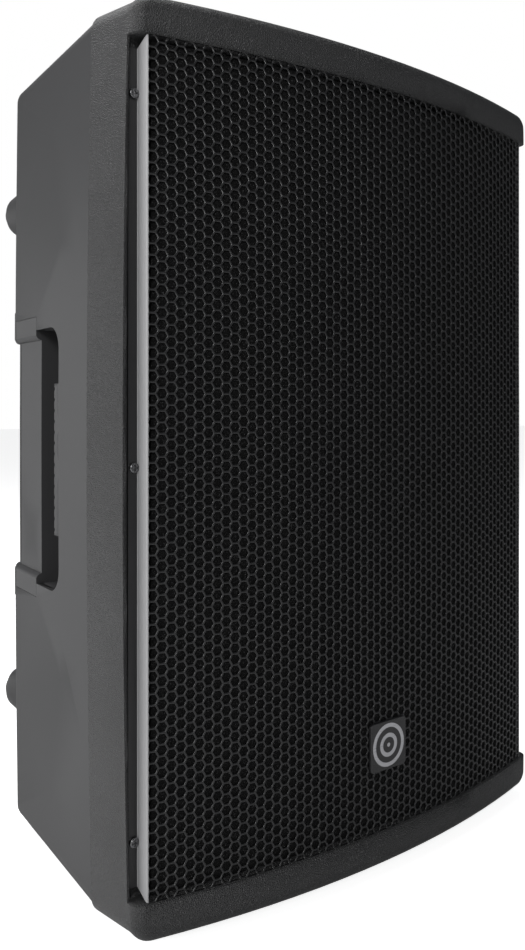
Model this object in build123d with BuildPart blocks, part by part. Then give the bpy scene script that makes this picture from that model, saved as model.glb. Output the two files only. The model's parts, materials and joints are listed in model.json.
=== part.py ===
"""Powered 12 inch loudspeaker cabinet with a bowed steel grille, built from separate parts.

Millimetres. +Z is up, the grille faces -Y, and +X is to the right when facing the grille.
The origin is on the floor, under the middle of the cabinet's overall box.
"""

import os
from math import cos, radians, sin, sqrt

from build123d import *

os.makedirs("parts", exist_ok=True)

# ---------------------------------------------------------------- driving dimensions
cabinet_height = 600.0
cabinet_depth = 290.0
half_width = 197.0  # at the top and bottom ends of the front bezel
side_bow = 3.5  # how far each side stands out at mid height
foot_proud = 1.5  # rubber feet below the lowest point of the bottom
seam_flare = 7.0  # how far top and bottom stand out at the seam
edge_flare = 2.5  # and at the rear edge
flare_start = 38.0  # from the front apex
wall = 5.0
corner_radius = 14.0  # side to top and side to bottom
front_radius = 9.0  # cap edges round the bowed front

bezel_depth = 86.0  # front apex to the seam
seam_gap = 1.6
shell_step = 1.2  # how far the shell sits inside the bezel's outline
rear_edge_from_front = 244.5
rear_edge_half_width = 187.0
rear_edge_bow = 2.0
rear_face_half_width = 145.0
rear_face_inset = 10.0  # top and bottom, from the rear edge to the rear face

grille_radius = 788.0
cap_height = 26.0
cap_proud = 2.5  # cap front ahead of the grille's front
grille_half_width = 187.6
grille_sheet = 1.2
grille_return = 12.0
flange_half_width = 195.2
lip_proud = 2.5  # lip ahead of the grille flange
lip_half_width = 195.6
lip_bow = 2.0
baffle_thickness = 8.0
foam_thickness = 8.0
fit_gap = 0.3

woofer_height = 188.0  # centre above the cabinet's bottom face
woofer_radius = 154.0
horn_width = 292.0
horn_height = 172.0
port_radius = 27.0
port_height = 340.0
port_spread = 140.0

handle_height = 217.0  # grip bar insert
pocket_height = 196.0
pocket_front = 142.5  # from the front apex
pocket_length = 49.0
pocket_floor = 143.0  # distance of the pocket floor from the middle plane
grip_rear = 241.0
grip_inset = 4.5
grip_inner = 172.0  # distance of the bar's inner face from the middle plane

panel_width = 232.0
panel_height = 322.0
panel_thickness = 2.5
panel_recess = 14.0
panel_centre = 300.0  # above the cabinet's bottom face

socket_radius = 18.0
socket_depth = 90.0
socket_from_front = 185.0

# ---------------------------------------------------------------- positions that follow
front = -cabinet_depth / 2
base = foot_proud + seam_flare  # bottom face at the front
top = base + cabinet_height
middle = base + cabinet_height / 2
opening_low = base + cap_height
opening_high = top - cap_height
bow_radius = grille_radius + cap_proud
bow_centre_y = front + bow_radius


def bow_drop(x, radius=grille_radius):
    """How far a bowed sheet has fallen back at x from the middle plane."""
    return radius - sqrt(radius**2 - x**2)


grille_edge = cap_proud + bow_drop(grille_half_width)
flange_front = grille_edge + grille_return
baffle_front = flange_front + grille_sheet
baffle_back = baffle_front + baffle_thickness
lip_front = flange_front - lip_proud
shell_front = bezel_depth + seam_gap
rear_face = cabinet_depth
recess_floor = rear_face - panel_recess
panel_face = recess_floor + panel_thickness
woofer_z = base + woofer_height
horn_z = opening_high - 6.0 - horn_height / 2
port_z = base + port_height
panel_z = base + panel_centre
pocket_rear = pocket_front + pocket_length


def y_at(from_front):
    return front + from_front


def flare_at(from_front):
    """How far top and bottom stand out beyond the front's height."""
    if from_front < shell_front:
        return seam_flare * max(0.0, from_front - flare_start) / (bezel_depth - flare_start)
    share = (from_front - shell_front) / (rear_edge_from_front - shell_front)
    return seam_flare + share * (edge_flare - seam_flare)


def shell_low(from_front):
    """Height of the rear half's bottom face."""
    return base + shell_step - flare_at(from_front)


def shell_high(from_front):
    """Height of the rear half's top face."""
    return top - shell_step + flare_at(from_front)


def facing_plane(from_front):
    """Vertical plane across the cabinet, with x to the right and z up."""
    return Plane.XZ.offset(-y_at(from_front))


def save(piece, name):
    piece.part.label = name
    export_step(piece.part, f"parts/{name}.step")


# ---------------------------------------------------------------- shared shapes
def outline(half, low, high, radius, bow):
    """Upright rounded rectangle whose two long sides bow outward."""
    mid = (low + high) / 2
    Line((-half + radius, low), (half - radius, low))
    RadiusArc((half - radius, low), (half, low + radius), -radius)
    ThreePointArc((half, low + radius), (half + bow, mid), (half, high - radius))
    RadiusArc((half, high - radius), (half - radius, high), -radius)
    Line((half - radius, high), (-half + radius, high))
    RadiusArc((-half + radius, high), (-half, high - radius), -radius)
    ThreePointArc((-half, high - radius), (-half - bow, mid), (-half, low + radius))
    RadiusArc((-half, low + radius), (-half + radius, low), -radius)


def section_at(from_front, half, inset, radius, bow):
    """The outline as a face, at a distance behind the front apex."""
    with BuildSketch(facing_plane(from_front)) as section:
        with BuildLine():
            outline(half, base + inset, top - inset, radius, bow)
        make_face()
    return section.sketch


def turned(points, x_axis, z_axis):
    """Turned piece about a front to back axis, from (radius, distance from front) points."""
    with BuildPart() as piece:
        with BuildSketch(Plane.XY.offset(z_axis)):
            with BuildLine():
                Polyline([(x_axis + r, y_at(f)) for r, f in points], close=True)
            make_face()
        revolve(axis=Axis((x_axis, 0, z_axis), (0, 1, 0)))
    return piece


def shell_volume(margin=0.0):
    """The rear half's outer form, drawn in by a margin for its inner and relief surfaces."""
    step = shell_step + margin
    radius = corner_radius - shell_step
    start = shell_front - margin * 0.2
    at_seam = section_at(start, half_width - step, step - seam_flare, radius, side_bow)
    at_edge = section_at(rear_edge_from_front, rear_edge_half_width - margin, step - edge_flare, radius,
                         rear_edge_bow)
    at_rear = section_at(rear_face - margin, rear_face_half_width - margin * 0.4,
                         rear_face_inset + step, radius, 0.5)
    with BuildPart() as body:
        loft(sections=(at_seam, at_edge), ruled=True)
        loft(sections=(at_edge, at_rear), ruled=True)
    return body


def rounded_box(low, high, radius=0.0):
    """Box between two corners, its four front to back edges rounded."""
    size = [b - a for a, b in zip(low, high)]
    centre = [(a + b) / 2 for a, b in zip(low, high)]
    with BuildPart() as block:
        with Locations(tuple(centre)):
            Box(*size)
        if radius > 0:
            fillet(block.edges().filter_by(Axis.Y), radius)
    return block


def screw(head_radius, head_height, shank_radius, length, recess=True):
    """Pan head screw standing on its seat: head above z = 0, shank below."""
    with BuildPart() as body:
        Cylinder(head_radius, head_height, align=(Align.CENTER, Align.CENTER, Align.MIN))
        fillet(body.edges().sort_by(Axis.Z)[-1], head_height * 0.45)
        Cylinder(shank_radius, length, align=(Align.CENTER, Align.CENTER, Align.MAX))
        if recess:
            slot_length = head_radius * 1.2
            slot_width = head_radius * 0.28
            with Locations((0, 0, head_height)):
                Box(slot_length, slot_width, head_height, mode=Mode.SUBTRACT)
                Box(slot_width, slot_length, head_height, mode=Mode.SUBTRACT)
    return body


faces_front = (90, 0, 0)
faces_rear = (-90, 0, 0)
faces_down = (180, 0, 0)
faces_up = (0, 0, 0)


def copies(item, places, turn):
    """One node holding the same solid at several places."""
    with BuildPart() as group:
        with Locations([Location(place, turn) for place in places]):
            add(item.part)
    return group


# ---------------------------------------------------------------- fixing patterns
shell_screw_rows = [30.0, 150.0, 300.0, 450.0, 570.0]  # above the bottom face
shell_screw_x = 178.0
boss_radius = 6.0
flange_width = 28.0
flange_thickness = 6.0
shell_screw_places = [
    (side * shell_screw_x, y_at(baffle_front), base + row)
    for side in (-1, 1) for row in shell_screw_rows
]
grille_screw_x = (grille_half_width + flange_half_width) / 2
grille_screw_rows = [base + 63.0 - foot_proud, middle, top - 63.0 + foot_proud]
grille_screw_places = [
    (side * grille_screw_x, y_at(flange_front), z) for side in (-1, 1) for z in grille_screw_rows
]
woofer_screw_circle = woofer_radius - 7.0
woofer_screw_count = 8
woofer_screw_angles = [22.5 + 360 / woofer_screw_count * i for i in range(woofer_screw_count)]
woofer_gasket_front = baffle_front - 7.0
basket_rim_front = baffle_front - 3.0
horn_flange_front = baffle_front - 4.0
horn_screw_places = [
    (x, y_at(horn_flange_front), horn_z + z)
    for x in (-horn_width / 2 + 8, 0, horn_width / 2 - 8)
    for z in (-horn_height / 2 + 7, horn_height / 2 - 7)
]


def around_woofer(radius, from_front):
    return [
        (radius * cos(radians(a)), y_at(from_front), woofer_z + radius * sin(radians(a)))
        for a in woofer_screw_angles
    ]


# ---------------------------------------------------------------- front bezel with baffle
thread_radius = 1.9  # self-tapping screws fill their holes
woofer_hole = 142.0
horn_hole = (horn_width - 24.0, horn_height - 24.0)

with BuildPart() as front_bezel:
    with BuildSketch(facing_plane(flare_start)):
        with BuildLine():
            outline(half_width, base, top, corner_radius, side_bow)
        make_face()
    extrude(amount=flare_start)
    loft(sections=(section_at(flare_start, half_width, 0.0, corner_radius, side_bow),
                   section_at(bezel_depth, half_width, -seam_flare, corner_radius, side_bow)), ruled=True)
    with BuildSketch(Plane.XY):
        with Locations((0, bow_centre_y)):
            Circle(bow_radius)
    extrude(amount=top + 50, mode=Mode.INTERSECT)
    fillet(front_bezel.faces().sort_by(Axis.Y)[0].edges(), front_radius)
    # sides between the caps end at the lip
    with Locations((0, y_at(lip_front) - 50, middle)):
        Box(3 * half_width, 100, opening_high - opening_low, mode=Mode.SUBTRACT)
    # seat for the grille, down to the baffle
    with BuildSketch(facing_plane(baffle_front)):
        with BuildLine():
            outline(lip_half_width, opening_low, opening_high, 1.0, lip_bow)
        make_face()
    extrude(amount=baffle_front, mode=Mode.SUBTRACT)
    # hollow behind the baffle
    loft(sections=(section_at(baffle_back, half_width - wall, wall - flare_at(baffle_back),
                              corner_radius - wall, side_bow),
                   section_at(bezel_depth, half_width - wall, wall - seam_flare, corner_radius - wall,
                              side_bow)), ruled=True, mode=Mode.SUBTRACT)
    with Locations([Location((x, y_at(baffle_back), z), faces_rear) for x, _, z in shell_screw_places]):
        Cylinder(boss_radius, bezel_depth - baffle_back, align=(Align.CENTER, Align.CENTER, Align.MIN))
    with Locations([Location((x, y_at(baffle_front), z), faces_rear) for x, _, z in shell_screw_places]):
        Cylinder(2.3, bezel_depth - baffle_front, align=(Align.CENTER, Align.CENTER, Align.MIN),
                 mode=Mode.SUBTRACT)
        Cylinder(4.6, 3.2, align=(Align.CENTER, Align.CENTER, Align.MIN), mode=Mode.SUBTRACT)
    with BuildSketch(facing_plane(baffle_back)):
        with Locations((0, woofer_z)):
            Circle(woofer_hole)
        with Locations((0, horn_z)):
            RectangleRounded(horn_hole[0], horn_hole[1], 12)
        with Locations((-port_spread, port_z), (port_spread, port_z)):
            Circle(port_radius + 2.2)
    extrude(amount=baffle_thickness, mode=Mode.SUBTRACT)
    pilots = around_woofer(woofer_screw_circle, baffle_front) + grille_screw_places + horn_screw_places
    with Locations([Location((x, y_at(baffle_front), z), faces_rear) for x, _, z in pilots]):
        Cylinder(thread_radius, baffle_thickness, align=(Align.CENTER, Align.CENTER, Align.MIN),
                 mode=Mode.SUBTRACT)
save(front_bezel, "front_bezel")

# ---------------------------------------------------------------- rear shell
outer = shell_volume()
inner = shell_volume(wall)
relief_skin = shell_volume(grip_inset)
relief_half = handle_height / 2 - 11.0
grip_x_outer = 2 * half_width


def side_box(side, from_front, to_front, x_near, x_far, half_height, mouth_radius=0.0):
    """Box on one side of the cabinet, centred at mid height; its front corners may be round."""
    xs = sorted((side * x_near, side * x_far))
    block = rounded_box(
        (xs[0], y_at(from_front), middle - half_height),
        (xs[1], y_at(to_front), middle + half_height),
    )
    if mouth_radius == 0.0:
        return block
    with BuildPart() as mouth:
        add(block.part)
        fillet(mouth.edges().filter_by(Axis.X).group_by(Axis.Y)[0], mouth_radius)
    return mouth


side_slope = ((half_width - shell_step + side_bow - rear_edge_half_width - rear_edge_bow)
              / (rear_edge_from_front - shell_front))
relief_round = 7.0  # length of the rounded step from the flush end down to the bar
relief_start = pocket_front + 20.0


def side_x(from_front):
    """Half width of the rear half at mid height."""
    return rear_edge_half_width + rear_edge_bow + side_slope * (rear_edge_from_front - from_front)


def grip_relief(side):
    """The thin slice between the outer form and the drawn-in grip, with rounded ends."""
    along_side = Plane(
        origin=(side * side_x(relief_start), y_at(relief_start), middle),
        x_dir=(side, side_slope, 0), z_dir=(-side * side_slope, 1, 0))
    foot = relief_half - relief_round
    bend = (-0.25 * grip_inset, relief_half - 0.7 * relief_round)
    with BuildPart() as slice_:
        with BuildSketch(along_side):
            with BuildLine():
                for way in (-1, 1):
                    Line((-3 * grip_inset, way * foot), (-grip_inset, way * foot))
                    ThreePointArc((-grip_inset, way * foot), (bend[0], way * bend[1]), (0.2, way * relief_half))
                    Line((0.2, way * relief_half), (4 * grip_inset, way * relief_half))
                Line((-3 * grip_inset, -foot), (-3 * grip_inset, foot))
                Line((4 * grip_inset, -relief_half), (4 * grip_inset, relief_half))
            make_face()
        extrude(amount=rear_face - relief_start)
        add(relief_skin.part, mode=Mode.SUBTRACT)
    return slice_


cup_wall = 3.0
mouth_radius = 18.0
cup_half = pocket_height / 2 + 8.0
finger_rear = 226.0
cup_front = pocket_front - cup_wall
cup_rear = finger_rear + cup_wall
grip_half = handle_height / 2
boss_base = 25.0
boss_tip = 12.0
boss_proud = 18.0
boss_round = 9.0
boss_spread = 202.0  # above and below mid height
chamfer_x = (rear_edge_half_width + rear_face_half_width) / 2
chamfer_y = (rear_edge_from_front + rear_face) / 2
amp_hole = (panel_width - 24.0, panel_height - 24.0)
reliefs = {side: grip_relief(side) for side in (-1, 1)}

socket_wall = 3.0
socket_flange = 34.0
socket_low = shell_low(socket_from_front + socket_radius + socket_wall) + 0.3
flange_seat = base + shell_step + wall
socket_screw_circle = 27.5
socket_screw_places = [
    (socket_screw_circle * cos(radians(a)), y_at(socket_from_front) + socket_screw_circle * sin(radians(a)),
     flange_seat + socket_wall)
    for a in (45, 135, 225, 315)
]

insert_radius = 6.0
insert_from_front = 180.0
insert_places = [(side * 70.0, y_at(insert_from_front)) for side in (-1, 1)]
insert_high = shell_high(insert_from_front + insert_radius)
insert_seat = insert_high - wall - 1.0
panel_screw_places = [
    (side * (panel_width / 2 - 5.5), panel_z + row)
    for side in (-1, 1) for row in (-panel_height / 2 + 7, -panel_height / 6, panel_height / 6,
                                    panel_height / 2 - 7)
]

with BuildPart() as rear_shell:
    add(outer.part)
    fillet(rear_shell.edges().filter_by_position(
        Axis.Y, y_at(rear_edge_from_front) - 0.5, y_at(rear_edge_from_front) + 0.5), 8.0)
    add(inner.part, mode=Mode.SUBTRACT)
    # stiff flange that the bezel's screws pull against
    with BuildSketch(facing_plane(shell_front + flange_thickness)):
        with BuildLine():
            outline(half_width - shell_step - 1, base - seam_flare + shell_step + 1,
                    top + seam_flare - shell_step - 1, corner_radius - shell_step, side_bow)
        make_face()
        with Locations((0, middle)):
            Rectangle(2 * (half_width - flange_width), cabinet_height - 2 * flange_width,
                      mode=Mode.SUBTRACT)
    extrude(amount=flange_thickness)
    with Locations([Location((x, y_at(shell_front), z), faces_rear) for x, _, z in shell_screw_places]):
        Cylinder(thread_radius, flange_thickness, align=(Align.CENTER, Align.CENTER, Align.MIN),
                 mode=Mode.SUBTRACT)
    # tray that carries the amplifier panel
    add(rounded_box(
        (-panel_width / 2 - wall, y_at(recess_floor - wall), base + panel_centre - panel_height / 2 - wall),
        (panel_width / 2 + wall, y_at(rear_face), base + panel_centre + panel_height / 2 + wall), 10.0).part)
    add(rounded_box(
        (-panel_width / 2, y_at(recess_floor), panel_z - panel_height / 2),
        (panel_width / 2, y_at(rear_face + 1), panel_z + panel_height / 2), 7.0).part, mode=Mode.SUBTRACT)
    add(rounded_box(
        (-amp_hole[0] / 2, y_at(recess_floor - wall - 5), panel_z - amp_hole[1] / 2),
        (amp_hole[0] / 2, y_at(rear_face), panel_z + amp_hole[1] / 2), 4.0).part, mode=Mode.SUBTRACT)
    # solid corner behind each handle, then the openings and the drawn-in grip
    for side in (-1, 1):
        with BuildPart(mode=Mode.PRIVATE) as pad:
            add(side_box(side, pocket_rear, rear_edge_from_front + 14, grip_inner - 12, grip_x_outer,
                         grip_half + 7).part)
            add(outer.part, mode=Mode.INTERSECT)
        add(pad.part)
        add(reliefs[side].part, mode=Mode.SUBTRACT)
        add(side_box(side, pocket_front, pocket_rear + 10, grip_inner - 8, grip_x_outer,
                     pocket_height / 2, mouth_radius).part, mode=Mode.SUBTRACT)
        add(side_box(side, pocket_rear, grip_rear, grip_inner, grip_x_outer, grip_half).part,
            mode=Mode.SUBTRACT)
        add(side_box(side, cup_front - fit_gap, cup_rear + fit_gap, pocket_floor - cup_wall - fit_gap,
                     grip_inner + 0.1, cup_half + fit_gap).part, mode=Mode.SUBTRACT)
        # bosses on the slanted rear corner, for laying the cabinet on its side
        for z in (middle - boss_spread, middle + boss_spread):
            boss_plane = Plane(
                origin=(side * chamfer_x, y_at(chamfer_y), z), x_dir=(0, 0, 1), z_dir=(side, 1, 0))
            with BuildPart(boss_plane, mode=Mode.PRIVATE) as boss:
                with Locations((0, 0, -3)):
                    Cone(boss_base + 1.5, boss_tip, boss_proud + 3,
                         align=(Align.CENTER, Align.CENTER, Align.MIN))
                fillet(boss.edges().sort_by(Axis((0, 0, 0), (side, 1, 0)))[-1], boss_round)
            add(boss.part)
    # flat pads inside, for the pole socket's flange and the threaded inserts
    with BuildPart(mode=Mode.PRIVATE) as flats:
        with Locations((0, y_at(socket_from_front), flange_seat)):
            Cylinder(socket_flange + 1, 4 * wall, align=(Align.CENTER, Align.CENTER, Align.MAX))
        with Locations([(x, y, insert_seat) for x, y in insert_places]):
            Cylinder(insert_radius + 5, 4 * wall, align=(Align.CENTER, Align.CENTER, Align.MIN))
        add(outer.part, mode=Mode.INTERSECT)
    add(flats.part)
    with Locations((0, y_at(socket_from_front), base)):
        Cylinder(socket_radius + socket_wall + 0.2, 6 * wall, mode=Mode.SUBTRACT)
    with Locations([(x, y, flange_seat) for x, y, _ in socket_screw_places]):
        Cylinder(thread_radius, 2 * wall - 2, mode=Mode.SUBTRACT)
    # threaded inserts in the top
    with Locations([(x, y, top) for x, y in insert_places]):
        Cylinder(insert_radius, 6 * wall, mode=Mode.SUBTRACT)
    # holes for the amplifier panel's screws
    with Locations([Location((x, y_at(recess_floor), z), faces_rear) for x, z in panel_screw_places]):
        Cylinder(thread_radius, 2 * wall, mode=Mode.SUBTRACT)
save(rear_shell, "rear_shell")

# ---------------------------------------------------------------- handle pockets and grip bars
ledge_width = 12.0
ledge_height = 112.0
ledge_drop = 1.2
ledge_thickness = 6.5
notch_pitch = 8.0
notch_radius = 1.3
notch_count = int((ledge_height - notch_pitch) // notch_pitch) + 1
notch_offsets = [notch_pitch * (i - (notch_count - 1) / 2) for i in range(notch_count)]
ledge_skin = shell_volume(ledge_drop)
ledge_back = shell_volume(ledge_drop + ledge_thickness)


def finger_ledge(side):
    """Notched ledge across the front of the mouth, rooted on the cup's front wall."""
    with BuildPart() as ledge:
        add(side_box(side, pocket_front, pocket_front + ledge_width, grip_inner, grip_x_outer,
                     ledge_height / 2).part)
        add(ledge_skin.part, mode=Mode.INTERSECT)
        add(ledge_back.part, mode=Mode.SUBTRACT)
        notch_rows = [
            (side * half_width, y_at(pocket_front + ledge_width), middle + row)
            for row in notch_offsets
        ]
        with Locations([Location(place, (0, 90, 0)) for place in notch_rows]):
            Cylinder(notch_radius, half_width, mode=Mode.SUBTRACT)
    return ledge


for side, name in ((-1, "left"), (1, "right")):
    with BuildPart() as cup:
        add(side_box(side, cup_front, cup_rear, pocket_floor - cup_wall, grip_x_outer, cup_half).part)
        add(inner.part, mode=Mode.INTERSECT)
        add(side_box(side, pocket_rear - 0.2, cup_rear + 1, grip_inner - 0.2, grip_x_outer, cup_half + 1).part,
            mode=Mode.SUBTRACT)
        add(side_box(side, pocket_front, pocket_rear, pocket_floor, grip_x_outer,
                     pocket_height / 2, mouth_radius).part, mode=Mode.SUBTRACT)
        add(side_box(side, pocket_front, finger_rear, pocket_floor, grip_inner - 0.2,
                     pocket_height / 2, mouth_radius).part, mode=Mode.SUBTRACT)
        add(finger_ledge(side).part)
    save(cup, f"handle_cup_{name}")
    with BuildPart() as grip:
        add(side_box(side, pocket_rear + fit_gap, grip_rear - fit_gap, grip_inner, grip_x_outer,
                     grip_half - fit_gap).part)
        add(outer.part, mode=Mode.INTERSECT)
        add(reliefs[side].part, mode=Mode.SUBTRACT)
    save(grip, f"grip_bar_{name}")

# ---------------------------------------------------------------- grille, foam and badge
grille_low = opening_low + fit_gap
grille_high = opening_high - fit_gap
grille_centre_y = y_at(cap_proud) + grille_radius
fold_radius = 2.0
return_relief = 6.0

with BuildPart() as grille:
    with BuildSketch(Plane.XY.offset(grille_low)) as plan:
        with Locations((0, grille_centre_y)):
            Circle(grille_radius)
            Circle(grille_radius - grille_sheet, mode=Mode.SUBTRACT)
        with Locations((0, y_at(0))):
            Rectangle(2 * grille_half_width, 2 * grille_edge, mode=Mode.INTERSECT)
        for side in (-1, 1):
            with Locations((side * (grille_half_width - grille_sheet / 2),
                            y_at((grille_edge - 0.5 + baffle_front) / 2))):
                Rectangle(grille_sheet, baffle_front - grille_edge + 0.5)
            with Locations((side * (flange_half_width + grille_half_width - grille_sheet) / 2,
                            y_at(baffle_front - grille_sheet / 2))):
                Rectangle(flange_half_width - grille_half_width + grille_sheet, grille_sheet)
    extrude(amount=grille_high - grille_low)
    folds = grille.edges().filter_by(Axis.Z)
    outer_folds = folds.filter_by_position(Axis.Y, y_at(grille_edge) - 1, y_at(grille_edge) + 1)
    fillet([e for e in outer_folds if abs(e.center().X) > grille_half_width - 0.1], 0.9)
    for side in (-1, 1):
        for z in (grille_low, grille_high):
            with Locations((side * (grille_half_width + 20 - grille_sheet), y_at(baffle_front), z)):
                Box(40, 2 * (grille_return - 3), 2 * return_relief, mode=Mode.SUBTRACT)
    with Locations([Location(place, faces_front) for place in grille_screw_places]):
        Cylinder(2.1, 4 * grille_sheet, mode=Mode.SUBTRACT)
save(grille, "grille")

foam_half_width = grille_half_width - grille_sheet - 2.0
with BuildPart() as grille_foam:
    with BuildSketch(Plane.XY.offset(grille_low + 3)):
        with Locations((0, grille_centre_y)):
            Circle(grille_radius - grille_sheet - fit_gap / 2)
            Circle(grille_radius - grille_sheet - fit_gap / 2 - foam_thickness, mode=Mode.SUBTRACT)
        with Locations((0, y_at(0))):
            Rectangle(2 * foam_half_width, 2 * (grille_edge + foam_thickness + 3), mode=Mode.INTERSECT)
    extrude(amount=grille_high - grille_low - 6)
save(grille_foam, "grille_foam")

grille_screw = screw(3.4, 2.1, thread_radius, 9.0)
save(copies(grille_screw, grille_screw_places, faces_front), "grille_screws")

shell_screw = screw(4.3, 2.6, thread_radius, bezel_depth - baffle_front + seam_gap + flange_thickness - 1)
shell_screw_seats = [(x, y + 3.2, z) for x, y, z in shell_screw_places]
save(copies(shell_screw, shell_screw_seats, faces_front), "shell_screws")

badge_size = 36.0
badge_thickness = 2.0
badge_height = 89.0
with BuildPart() as badge:
    with BuildSketch(facing_plane(cap_proud + 1)):
        with Locations((0, base + badge_height)):
            RectangleRounded(badge_size, badge_size, 3)
    extrude(amount=badge_thickness + 1)
    fillet(badge.faces().sort_by(Axis.Y)[0].edges(), 0.5)
    with BuildSketch(Plane.XY):
        with Locations((0, grille_centre_y)):
            Circle(grille_radius)
    extrude(amount=top, mode=Mode.SUBTRACT)
save(badge, "badge")

# ---------------------------------------------------------------- seam gasket, feet and pads
gasket_inset = 3.2
gasket_low = base - seam_flare
gasket_high = top + seam_flare
with BuildPart() as seam_gasket:
    with BuildSketch(facing_plane(bezel_depth)):
        with BuildLine():
            outline(half_width - gasket_inset, gasket_low + gasket_inset, gasket_high - gasket_inset,
                    corner_radius - gasket_inset, side_bow)
        make_face()
        with BuildLine():
            outline(half_width - wall, gasket_low + wall, gasket_high - wall, corner_radius - wall, side_bow)
        make_face(mode=Mode.SUBTRACT)
    extrude(amount=-seam_gap)
save(seam_gasket, "seam_gasket")

foot_radius = 11.0
foot_inset_x = 34.0
foot_places = [
    (side * (half_width - foot_inset_x), y_at(f)) for side in (-1, 1) for f in (66.0, 226.0)
]
with BuildPart() as rubber_feet:
    with Locations([(x, y, 0) for x, y in foot_places]):
        Cylinder(foot_radius, base, align=(Align.CENTER, Align.CENTER, Align.MIN))
    chamfer(rubber_feet.edges().group_by(Axis.Z)[0], 0.4)
    add(outer.part, mode=Mode.SUBTRACT)
    loft(sections=(section_at(flare_start, half_width, 0.0, corner_radius, side_bow),
                   section_at(bezel_depth, half_width, -seam_flare, corner_radius, side_bow)),
         ruled=True, mode=Mode.SUBTRACT)
save(rubber_feet, "rubber_feet")

# rubber pads on the tips of the rear bosses
pad_radius = boss_tip - 5.5
pad_height = 1.5
with BuildPart() as monitor_pads:
    for side in (-1, 1):
        for z in (middle - boss_spread, middle + boss_spread):
            reach = boss_proud / sqrt(2)
            tip = Plane(origin=(side * (chamfer_x + reach), y_at(chamfer_y + reach), z),
                        x_dir=(0, 0, 1), z_dir=(side, 1, 0))
            with Locations(tip):
                Cylinder(pad_radius, pad_height, align=(Align.CENTER, Align.CENTER, Align.MIN))
save(monitor_pads, "monitor_pads")

# ---------------------------------------------------------------- pole socket
with BuildPart() as pole_socket:
    with Locations((0, y_at(socket_from_front), socket_low)):
        Cylinder(socket_radius + socket_wall, socket_depth + socket_wall,
                 align=(Align.CENTER, Align.CENTER, Align.MIN))
    with Locations((0, y_at(socket_from_front), flange_seat)):
        Cylinder(socket_flange, 3.0, align=(Align.CENTER, Align.CENTER, Align.MIN))
    with Locations((0, y_at(socket_from_front), socket_low)):
        Cylinder(socket_radius, socket_depth, align=(Align.CENTER, Align.CENTER, Align.MIN),
                 mode=Mode.SUBTRACT)
    with Locations(socket_screw_places):
        Cylinder(thread_radius, 3 * socket_wall, mode=Mode.SUBTRACT)
save(pole_socket, "pole_socket")
socket_screw = screw(3.6, 2.2, thread_radius, socket_wall + wall - 1)
save(copies(socket_screw, socket_screw_places, faces_up), "socket_screws")

# ---------------------------------------------------------------- woofer
rim_inner = 126.0
coil_mid = 25.3
cone_rim = 118.0
cone_front = baffle_front - 2.0
cone_depth = 47.0
cone_paper = 1.2
cone_back = cone_front + cone_depth
magnet_front = baffle_front + 91.0
top_plate = 8.0
magnet_thickness = 18.0
back_plate = 8.0
basket_foot = 84.0
basket_wall = 2.0

woofer_basket = turned([
    (rim_inner, basket_rim_front), (woofer_radius, basket_rim_front), (woofer_radius, baffle_front),
    (134 + basket_wall, baffle_front), (basket_foot + basket_wall, magnet_front - 14),
    (basket_foot + basket_wall, magnet_front), (30, magnet_front), (30, magnet_front - 2.5),
    (basket_foot, magnet_front - 2.5), (basket_foot, magnet_front - 14), (134, baffle_front),
    (rim_inner, baffle_front),
], 0, woofer_z)
with BuildPart() as woofer_basket_cut:
    add(woofer_basket.part)
    for i in range(woofer_screw_count):
        angle = 360 / woofer_screw_count * i
        spoke = Plane(origin=(0, y_at(baffle_front), woofer_z),
                      x_dir=(cos(radians(angle)), 0, sin(radians(angle))), z_dir=(0, 1, 0))
        with Locations(spoke):
            with Locations((108, 0, 36)):
                Box(60, 52, 44, mode=Mode.SUBTRACT)
    with Locations([Location(p, faces_front) for p in around_woofer(woofer_screw_circle, baffle_front)]):
        Cylinder(2.3, 20, mode=Mode.SUBTRACT)
save(woofer_basket_cut, "woofer_basket")

gasket_band = turned([
    (woofer_radius - 14, woofer_gasket_front), (woofer_radius, woofer_gasket_front),
    (woofer_radius, basket_rim_front), (woofer_radius - 14, basket_rim_front),
], 0, woofer_z)
with BuildPart() as woofer_gasket:
    add(gasket_band.part)
    with Locations([Location(p, faces_front) for p in around_woofer(woofer_screw_circle, baffle_front)]):
        Cylinder(2.4, 30, mode=Mode.SUBTRACT)
save(woofer_gasket, "woofer_gasket")
woofer_screw = screw(4.2, 2.6, thread_radius, 13.0)
save(copies(woofer_screw, around_woofer(woofer_screw_circle, woofer_gasket_front), faces_front),
     "woofer_screws")

roll_radius = 6.0
roll_centre = cone_rim + roll_radius + 1.5
with BuildPart() as woofer_surround:
    with BuildSketch(Plane.XY.offset(woofer_z)):
        with Locations((roll_centre, y_at(basket_rim_front - 0.6))):
            Circle(roll_radius)
            Circle(roll_radius - 0.9, mode=Mode.SUBTRACT)
        with Locations((roll_centre, y_at(basket_rim_front - 0.6) + roll_radius / 2)):
            Rectangle(2 * roll_radius + 1, roll_radius, mode=Mode.SUBTRACT)
        with Locations((roll_centre + roll_radius + 2.6, y_at(basket_rim_front - 0.75))):
            Rectangle(7.0, 0.9)
        with Locations((roll_centre - roll_radius - 1.8, y_at(basket_rim_front - 0.75))):
            Rectangle(5.0, 0.9)
    revolve(axis=Axis((0, 0, woofer_z), (0, 1, 0)))
save(woofer_surround, "woofer_surround")

surround_seat = basket_rim_front - 0.3
woofer_cone = turned([
    (coil_mid + 0.1, cone_back), (cone_rim - 5.0, surround_seat), (cone_rim, surround_seat),
    (cone_rim, surround_seat + cone_paper), (cone_rim - 4.0, surround_seat + cone_paper),
    (coil_mid + 0.1, cone_back + cone_paper + 1),
], 0, woofer_z)
save(woofer_cone, "woofer_cone")


def cone_face(radius):
    """Distance from the front of the cone's face at a radius."""
    share = (radius - coil_mid - 0.1) / (cone_rim - 5.0 - coil_mid - 0.1)
    return cone_back + share * (surround_seat - cone_back)


cap_radius = 38.0
cap_rise = 11.0
cap_skin = 0.9
dome_steps = 10


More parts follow.
